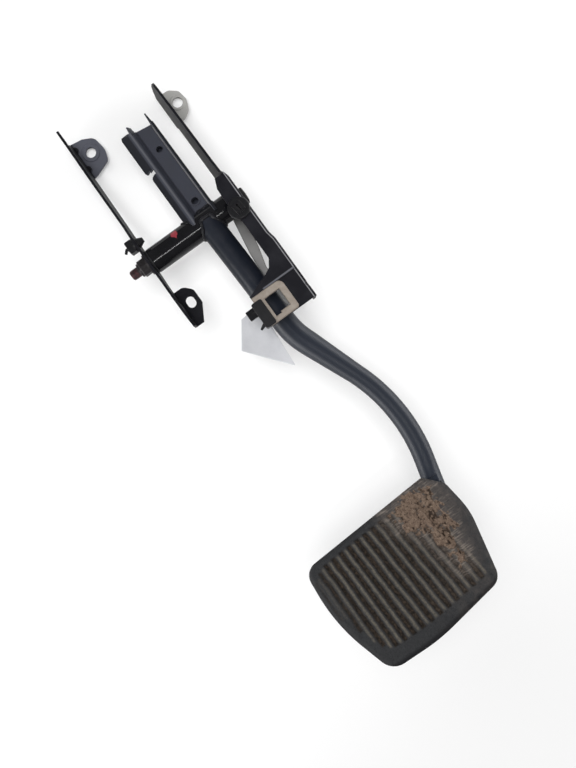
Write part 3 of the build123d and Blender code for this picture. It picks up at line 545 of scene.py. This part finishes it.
def four_sided(top, right, bottom, left):
    """Surface between four sides: the two ruled surfaces added, less the one ruled between the four corners.
    Rows go from top to bottom, columns from left to right."""
    u = np.linspace(0, 1, len(top))[None, :, None]
    v = np.linspace(0, 1, len(left))[:, None, None]
    ruled = (1 - v) * top[None] + v * bottom[None] + (1 - u) * left[:, None] + u * right[:, None]
    corner = (1 - v) * ((1 - u) * top[0] + u * top[-1]) + v * ((1 - u) * bottom[0] + u * bottom[-1])
    return ruled - corner


def depth_inside(x, y, outline):
    """Distance in mm to the nearest edge of a closed outline, positive inside and negative outside."""
    a, b = outline, np.roll(outline, -1, axis=0)
    run = b - a
    px, py = x[..., None] - a[:, 0], y[..., None] - a[:, 1]
    share = np.clip((px * run[:, 0] + py * run[:, 1]) / (run ** 2).sum(axis=1), 0, 1)
    near = np.hypot(px - share * run[:, 0], py - share * run[:, 1]).min(axis=-1)
    level = (a[:, 1] > y[..., None]) != (b[:, 1] > y[..., None])
    cross = a[:, 0] + (y[..., None] - a[:, 1]) * run[:, 0] / np.where(run[:, 1] == 0, 1e-9, run[:, 1])
    return np.where((level & (x[..., None] < cross)).sum(axis=-1) % 2 == 1, near, -near)


top, right, bottom, left = rounded_sides(PAD_CORNERS, PAD_ROUNDS, [0, 1, 4, 6],
                                         [GRID_X, GRID_Y, GRID_X, GRID_Y])
bottom, left = bottom[::-1], left[::-1]
face = four_sided(top, right, bottom, left)
x, y = face[..., 0], face[..., 1]
# distance to the rim, taken to the ends of the vertex's own row and column
rim_gap = np.minimum.reduce([np.linalg.norm(face - side, axis=-1)
                             for side in (top[None], bottom[None], left[:, None], right[:, None])])
# ribs: tops lie halfway between grooves; each centre line leans, and wanders a little where the edge has worn
wander = x + 0.6 * (patches(x, y, 11.0, 31) - 0.5) + 0.5 * (patches(x, y, 2.6, 32) - 0.5)
count = np.arange(len(RIB_ROWS))
lean = np.radians(2.0 + 0.18 * count)
rib_mid = RIB_ROWS[:, 1:].mean(axis=1)
rib_half = (RIB_ROWS[:, 1] - RIB_ROWS[:, 2]) / 2
across = np.abs((wander[..., None] - RIB_ROWS[:, 0] + (y[..., None] - rib_mid) * np.tan(lean)) * np.cos(lean))
ends = ease((rib_half - np.abs(y[..., None] - rib_mid)) / 2.6)
strength = np.where(count < 1, 0.3, np.where(count < 2, 0.75, 1.0))
rib_share = (ease((TOP_WIDE - across) / TOP_SOFT) * ends * strength).max(axis=-1)
# grooves: depth is an eased step of how far a point lies inside the groove's long sides and its ends
sides = np.concatenate([[FIRST_SIDE], RIB_ROWS])
groove = (sides[1:] + sides[:-1]) / 2
groove_half = (np.diff(sides[:, 0]) - RIB_WIDE) / 2
groove_mid = groove[:, 1:].mean(axis=1)
groove_long = (groove[:, 1] - groove[:, 2]) / 2
off = np.abs((wander[..., None] - groove[:, 0] + (y[..., None] - groove_mid) * np.tan(lean)) * np.cos(lean))
inset = np.minimum(groove_half - off, groove_long - np.abs(y[..., None] - groove_mid))
groove_share = (ease((inset + 0.4) / GROOVE_ROUND) * strength).max(axis=-1)
rim_drop = RIM * (1 - np.clip(rim_gap / RIM_WIDE, 0, 1)) ** 1.7
worn = 0.5 * patches(x, y, 9.0, 11) * rib_share + 0.1 * (patches(x, y, 1.3, 13) - 0.5)
silt = 0.75 + 0.35 * patches(x, y, 6.0, 14)
rubber_high = FACE - GROOVE_DEEP * groove_share * silt - worn - rim_drop
# mud: a crust that thins to nothing at a ragged outline, lumpy on top, sunk over the grooves on its right side
mud_depth = depth_inside(x, y, MUD_OUTLINE)
ragged = mud_depth + 9.0 * (patches(x, y, 6.0, 21) - 0.5) + 6.0 * (patches(x, y, 2.1, 22) - 0.5)
lumps = (patches(x, y, 4.2, 23) - 0.5) + 1.2 * (patches(x, y, 1.5, 24) - 0.5)
lumps = lumps + 0.8 * (patches(x, y, 0.8, 25) - 0.5)
sunk = groove_share * (0.3 + 1.1 * ease((x - 1.0) / 5.0))
mud_high = FACE - 2.6 - rim_drop + 3.3 * ease((ragged + 1.5) / 5.0) + lumps - sunk
mud_high = mud_high + 1.8 * (patches(x, y / 2.2, 2.4, 28) - 0.55) * ease((x - 2.0) / 7.0)
over = mud_high - rubber_high
high = rubber_high + np.maximum(over, 0)
mud_share = ease(over / 0.45)
film = ease((mud_depth + 15.0) / 15.0) * (0.45 + 0.55 * patches(x, y, 3.0, 26))
trodden = 0.35 * ease((x + 45.0) / 50.0) * patches(x, y, 4.0, 27)
soil = np.maximum(film, trodden)
# hollows among the mud's lumps, to be painted dark as shade
hollow_shade = ease((0.4 * ease((x - 2.0) / 7.0) - 0.3 - lumps) / 0.35)
rim_share = 1 - np.clip(rim_gap / RIM_WIDE, 0, 1)
# rim ring in turn down the left, along the foot, up the right and back along the top
index = np.arange(GRID_X * GRID_Y).reshape(GRID_Y, GRID_X)
rim = np.concatenate([index[:, 0], index[-1, 1:], index[-2::-1, -1], index[0, -2:0:-1]])
rim_xy = face.reshape(-1, 2)[rim]
centre = np.array([-32.0, -53.0])
reach = np.linalg.norm(rim_xy - centre, axis=1, keepdims=True)
# side and back: rings stepped down the wall, round the lip and back up into the plate's pocket
WALL = np.array([(0.0, 5.0), (0.0, 2.0), (0.05, -0.6), (0.3, -1.8), (0.9, LIP_LOW), (9.0, LIP_LOW), (9.0, 0.0),
                 (4.0, 0.0), (4.0, PLATE_FRONT)])
wall_xy = centre + (rim_xy - centre)[None] * (1 - WALL[:, 0, None, None] / reach[None])
wall_high = np.repeat(WALL[:, 1:], len(rim), axis=1)
# the back is lifted clear where the arm passes under the rim
arm_off = (wall_xy[..., 0] - 27.4 - wall_xy[..., 1] * ARM_SLANT) * 0.963
arm_clear = -ARM_SEAT + np.sqrt(np.maximum((ARM_LOW_R + 0.4) ** 2 - arm_off ** 2, 0.0))
near_arm = (np.abs(arm_off) < ARM_LOW_R + 0.4) & (wall_xy[..., 1] > -60.0)
wall_high = np.where(near_arm, np.maximum(wall_high, arm_clear), wall_high)
flat_xy = np.concatenate([face.reshape(-1, 2), wall_xy.reshape(-1, 2), centre[None]])
flat_high = np.concatenate([high.ravel(), wall_high.ravel(), [PLATE_FRONT]])[:, None]
points = PAD_ORIGIN + flat_xy[:, :1] * PAD_X + flat_xy[:, 1:] * PAD_UP + flat_high * PAD_OUT
face_quads = np.stack([index[:-1, :-1], index[1:, :-1], index[1:, 1:], index[:-1, 1:]], axis=-1).reshape(-1, 4)
rows = np.concatenate([rim[None], GRID_X * GRID_Y + np.arange(wall_xy[..., 0].size).reshape(len(WALL), -1)])
turned = np.roll(rows, -1, axis=1)
wall_quads = np.stack([rows[:-1], rows[1:], turned[1:], turned[:-1]], axis=-1).reshape(-1, 4)
pole = np.full(len(rim), len(points) - 1)
fan = np.stack([rows[-1], pole, turned[-1]], axis=-1)
mesh = bpy.data.meshes.new("rubber_pad")
mesh.from_pydata((points / 1000).tolist(), [], face_quads.tolist() + wall_quads.tolist() + fan.tolist())
mesh.polygons.foreach_set("use_smooth", np.ones(len(mesh.polygons), bool))
for name, values, elsewhere in (("rib", rib_share, 0.0), ("groove", groove_share, 0.0), ("mud", mud_share, 0.0),
                                ("soil", soil, 0.0), ("hollow_shade", hollow_shade, 0.0), ("rim", rim_share, 1.0)):
    spare = np.full(len(points) - values.size, elsewhere)
    held = mesh.attributes.new(name, "FLOAT", "POINT")
    held.data.foreach_set("value", np.concatenate([np.clip(values, 0, 1).ravel(), spare]).astype(np.float32))
pad = bpy.data.objects.new("rubber_pad", mesh)
bpy.context.scene.collection.objects.link(pad)

# Moulded natural rubber, perished: matt, lighter grey on the rib tops, brown dust in the grooves, which are
# painted near black as shade, and the rim painted darker as shade.
# Dried clay over it: pale brown, crumbly and quite matt, its pits and hollows painted dark as shade.
RUBBER_BORDER = "#343536"
RUBBER_DEEP = "#262628"
RUBBER_TOP = "#5e5950"
RUBBER_RIM_SHADE = "#1e1e20"
RUBBER_GROOVE_SHADE = "#1b1815"
RUBBER_SPECK = "#17171a"
GROOVE_SILT = "#41372e"
RUBBER_SOIL = "#605853"
SOIL_SCRATCH = "#80776f"
MUD_PALE = "#776658"
MUD_BROWN = "#5a4a40"
MUD_PIT_SHADE = "#2e241d"
DUST_CLOUD, GRIT, CRUMB = 7.0, 0.9, 2.2
rubber, tree, shader, place = start("moulded_rubber_perished", Roughness=0.72, IOR=1.5, Specular_IOR_Level=0.3)
rib, groove_at, mud, soiled, hollow_shade_at, rim_at = [
    add(tree, "ShaderNodeAttribute", attribute_name=name).outputs["Fac"]
    for name in ("rib", "groove", "mud", "soil", "hollow_shade", "rim")]
dust = noise(tree, place, DUST_CLOUD, 5.0, 0.65)
grit = noise(tree, place, GRIT, 4.0, 0.7)
crumb = noise(tree, place, CRUMB, 6.0, 0.75)
rough_height = add(tree, "ShaderNodeMath", {0: grit, 1: crumb}, operation="ADD")
blend(tree, shader, dust, RUBBER_DEEP, RUBBER_BORDER)
dress(pad, rubber)
speckle = ramp(tree, grit, 0.52, 0.36, end=0.6)
lay_over(tree, shader, speckle, RUBBER_SPECK)
# painted shade: the rim, where the face falls away, is painted darker
rim_painted_shade = ramp(tree, rim_at, 0.15, 0.6, end=0.75)
lay_over(tree, shader, rim_painted_shade, RUBBER_RIM_SHADE)
# painted shade: the grooves are laid near black
lay_over(tree, shader, groove_at, RUBBER_GROOVE_SHADE)
silted = ramp(tree, crumb, 0.42, 0.62, end=0.95)
silt_mask = times(tree, groove_at, silted)
lay_over(tree, shader, silt_mask, GROOVE_SILT)
# the rib tops are coloured lighter grey, broken by a grain
top_pale = ramp(tree, rough_height.outputs[0], 0.75, 1.2, 0.35, 1.0)
top_mask = times(tree, rib, top_pale)
lay_over(tree, shader, top_mask, RUBBER_TOP)
soil_grain = ramp(tree, crumb, 0.35, 0.65, 0.25, 0.9)
soil_mask = times(tree, soiled, soil_grain)
lay_over(tree, shader, soil_mask, RUBBER_SOIL)
# soles have dragged fine scratches slantwise through the film
stroke = add(tree, "ShaderNodeMapping", {"Vector": place, "Rotation": (0.0, np.radians(14.0), 0.0),
                                         "Scale": (0.09, 0.09, 0.9)})
scratch = noise(tree, stroke.outputs[0], 1.0, 2.0)
filmed = ramp(tree, soiled, 0.3, 0.8, end=0.6)
scratched = ramp(tree, scratch, 0.5, 0.66)
scratch_mask = times(tree, filmed, scratched)
lay_over(tree, shader, scratch_mask, SOIL_SCRATCH)
lay_over(tree, shader, mud, MUD_BROWN)
clay = ramp(tree, crumb, 0.38, 0.6)
pale = times(tree, clay, mud)
lay_over(tree, shader, pale, MUD_PALE)
# painted shade: pits in the grain and the hollows among the lumps are laid dark
pit_shade = ramp(tree, grit, 0.46, 0.34)
pit_shade_mask = times(tree, pit_shade, mud)
lay_over(tree, shader, pit_shade_mask, MUD_PIT_SHADE)
hollow_painted_shade = times(tree, hollow_shade_at, mud)
lay_over(tree, shader, hollow_painted_shade, MUD_PIT_SHADE)
bump = add(tree, "ShaderNodeBump", {"Height": rough_height.outputs[0], "Strength": 0.5, "Distance": 0.0005})
tree.links.new(bump.outputs[0], shader.inputs["Normal"])
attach(pad, "pedal")
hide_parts("pad_rubber")


# Trim retainer, harness clips and cut ties: moulded black plastic pushed into holes and over edges.
# A low sheen over a fine spark-eroded grain, with soft edges.
PLASTIC_BLACK, PLASTIC_HAZE = "#0b0b0d", "#1a1a1d"
SPARK_GRAIN, HAZE_PATCH = 0.9, 6.0
plastic, tree, shader, place = start("moulded_black_polypropylene", Roughness=0.36, IOR=1.49)
speck = noise(tree, place, SPARK_GRAIN, 3.0)
haze = noise(tree, place, HAZE_PATCH, 3.0)
blend(tree, shader, haze, PLASTIC_BLACK, PLASTIC_HAZE)
rounded = add(tree, "ShaderNodeBevel", {"Radius": 0.0007}, samples=6)
relief(tree, shader, speck, 0.2, rounded)
for name in ("trim_retainer", "left_clip", "left_tie", "lower_clip", "lower_tie"):
    dress(nodes[name], plastic)


# Paper flag: a blank slip of thin coated paper stuck along the back of the arm, its free end curling off.
# Cut by hand to six corners; it shows cool grey in the arm's shade, with a faint fibre mottle.
TAG_CORNERS = np.array([(-22.0, 78.5), (-36.4, 99.8), (-8.0, 134.0), (-5.7, 93.0), (8.5, 91.0), (7.5, 75.0)])
TAG_THICK = 0.2
PAPER_PALE, PAPER_FIBRE, FIBRE_PATCH = "#dadbde", "#c2c3c8", 9.0
side_top = np.linspace(TAG_CORNERS[0], TAG_CORNERS[5], 60)
foot_share = np.linspace(0, 1, 60)
side_bottom = np.stack([np.interp(foot_share, [0, 0.55, 0.72, 1], TAG_CORNERS[1:5, k]) for k in (0, 1)], axis=1)
side_left = np.linspace(TAG_CORNERS[0], TAG_CORNERS[1], 40)
side_right = np.linspace(TAG_CORNERS[5], TAG_CORNERS[4], 40)
cut = four_sided(side_top, side_right, side_bottom, side_left)
TAG_DOWN = ARM_DOWN * [0, 1, 1] / np.linalg.norm(ARM_DOWN[1:])
TAG_BACK = np.cross(PAD_X, -TAG_DOWN) * -1.0
# lift off the arm's plane: the square of the distance past the arm's side, a little wave along the edge
free = np.maximum(-7.0 - cut[..., 0], 0)
curl = ARM_R + 0.2 - 0.008 * free ** 2 + 0.35 * np.sin(cut[..., 1] / 6.0) * free / 28
tag_points = (np.array([0.0, ARM_TOP[1], ARM_TOP[2]]) + cut[..., :1] * PAD_X + cut[..., 1:] * TAG_DOWN
              + curl[..., None] * TAG_BACK)
index = np.arange(cut[..., 0].size).reshape(cut.shape[:2])
quads = np.stack([index[:-1, :-1], index[1:, :-1], index[1:, 1:], index[:-1, 1:]], axis=-1).reshape(-1, 4)
mesh = bpy.data.meshes.new("paper_flag")
mesh.from_pydata((tag_points.reshape(-1, 3) / 1000).tolist(), [], quads.tolist())
mesh.polygons.foreach_set("use_smooth", np.ones(len(mesh.polygons), bool))
tag = bpy.data.objects.new("paper_flag", mesh)
bpy.context.scene.collection.objects.link(tag)
wall = tag.modifiers.new("thickness", "SOLIDIFY")
wall.thickness = TAG_THICK / 1000
wall.offset = 0.0
paper, tree, shader, place = start("coated_paper_blank", Roughness=0.7, IOR=1.5, Specular_IOR_Level=0.3)
fibre = noise(tree, place, FIBRE_PATCH, 6.0, 0.6)
blend(tree, shader, fibre, PAPER_PALE, PAPER_FIBRE)
dress(tag, paper)
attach(tag, "pedal")
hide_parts("paper_tag")


# Stage: the bulkhead faces lie on a pale seamless sheet that leans away below, clear of the pedal's swing.
# Two soft lamps over it cast the faint shadows; a strip lamp and two cards at the sides give the gloss.
FLOOR_HALF = 3.0
FLOOR_NEAR, FLOOR_SLOPE = 0.006, -0.09
FLOOR_LIT, FLOOR_FAR = 0.35, 0.9
floor_rise = FLOOR_SLOPE * FLOOR_HALF
floor_mesh = bpy.data.meshes.new("pale_sheet")
floor_mesh.from_pydata([(-FLOOR_HALF, FLOOR_NEAR - floor_rise, -FLOOR_HALF),
                        (FLOOR_HALF, FLOOR_NEAR - floor_rise, -FLOOR_HALF),
                        (FLOOR_HALF, FLOOR_NEAR + floor_rise, FLOOR_HALF),
                        (-FLOOR_HALF, FLOOR_NEAR + floor_rise, FLOOR_HALF)], [], [(0, 1, 2, 3)])
floor = bpy.data.objects.new("pale_sheet", floor_mesh)
bpy.context.scene.collection.objects.link(floor)
sheet_white = bpy.data.materials.new("pale_paper_seamless")
sheet_white.use_nodes = True
tree = sheet_white.node_tree
tree.nodes.clear()
matt = add(tree, "ShaderNodeBsdfDiffuse", {"Color": linear("#f7f7f7")})
dim = add(tree, "ShaderNodeBsdfDiffuse", {"Color": linear("#c4c4c4")})
glow = add(tree, "ShaderNodeEmission", {"Color": linear("#ffffff"), "Strength": 1.0})
path = add(tree, "ShaderNodeLightPath")
spot = add(tree, "ShaderNodeTexCoord")
off = add(tree, "ShaderNodeVectorMath", {0: spot.outputs["Object"]}, operation="LENGTH")
far = ramp(tree, off.outputs["Value"], FLOOR_LIT, FLOOR_FAR, 0.2, 1.0)
share = times(tree, path.outputs["Is Camera Ray"], far)
mirrored = add(tree, "ShaderNodeMixShader",
               {0: path.outputs["Is Glossy Ray"], 1: matt.outputs[0], 2: dim.outputs[0]})
seen = add(tree, "ShaderNodeMixShader", {0: share, 1: mirrored.outputs[0], 2: glow.outputs[0]})
behind = add(tree, "ShaderNodeNewGeometry")
clear = add(tree, "ShaderNodeBsdfTransparent")
oneway = add(tree, "ShaderNodeMixShader",
             {0: behind.outputs["Backfacing"], 1: seen.outputs[0], 2: clear.outputs[0]})
add(tree, "ShaderNodeOutputMaterial", {"Surface": oneway.outputs[0]})
floor_mesh.materials.append(sheet_white)

# each lamp: where it stands, what it faces, its width and height in m, its power, whether the gloss shows it
for name, where, facing, wide, tall, power, shines in (
    ("overhead", (-0.08, -1.30, -0.12), (0.0, -0.05, -0.25), 0.45, 0.45, 9.5, False),
    ("key", (-0.15, -1.00, 0.47), (0.0, -0.05, -0.10), 0.6, 0.5, 2.5, False),
    ("line", (-0.05, -1.00, -0.42), (0.0, -0.05, -0.12), 0.5, 0.03, 1.2, True),
    ("left_card", (-0.55, -0.17, -0.30), (0.0, -0.06, -0.26), 0.28, 0.5, 2.0, True),
    ("right_card", (0.55, -0.17, -0.24), (0.0, -0.06, -0.24), 0.28, 0.8, 2.4, True),
    ("rear", (0.4, 1.2, 0.5), (0.0, -0.05, -0.22), 1.2, 1.2, 10.0, True),
):
    lamp = bpy.data.lights.new(name, "AREA")
    lamp.shape = "RECTANGLE"
    lamp.size, lamp.size_y = wide, tall
    lamp.energy = power
    stand = bpy.data.objects.new(name, lamp)
    stand.location = where
    aim = Vector(facing) - Vector(where)
    stand.rotation_euler = aim.to_track_quat("-Z", "Y").to_euler()
    stand.visible_glossy = shines
    stand.visible_camera = False
    bpy.context.scene.collection.objects.link(stand)
world = bpy.data.worlds.new("pale_surround")
world.use_nodes = True
tree = world.node_tree
path = add(tree, "ShaderNodeLightPath")
level = ramp(tree, path.outputs["Is Camera Ray"], 0.0, 1.0, 0.16, 1.0)
tree.links.new(level, tree.nodes["Background"].inputs["Strength"])
tree.nodes["Background"].inputs["Color"].default_value = linear("#ffffff")
bpy.context.scene.world = world

# Camera: square on to the bulkhead face, turned so that the part lies slantwise, 750 pixels of focal length
# for an image 576 by 768.
lens = bpy.data.cameras.new("camera")
lens.sensor_width = 36.0
lens.lens = 750 * 36.0 / 768
camera = bpy.data.objects.new("camera", lens)
camera.matrix_world = Matrix(((0.8111, 0.5850, 0.0, -0.0218), (0.0, 0.0, -1.0, -0.650),
                              (-0.5850, 0.8111, 0.0, -0.2572), (0.0, 0.0, 0.0, 1.0)))
bpy.context.scene.collection.objects.link(camera)
bpy.context.scene.camera = camera
bpy.context.scene.view_settings.view_transform = "Standard"
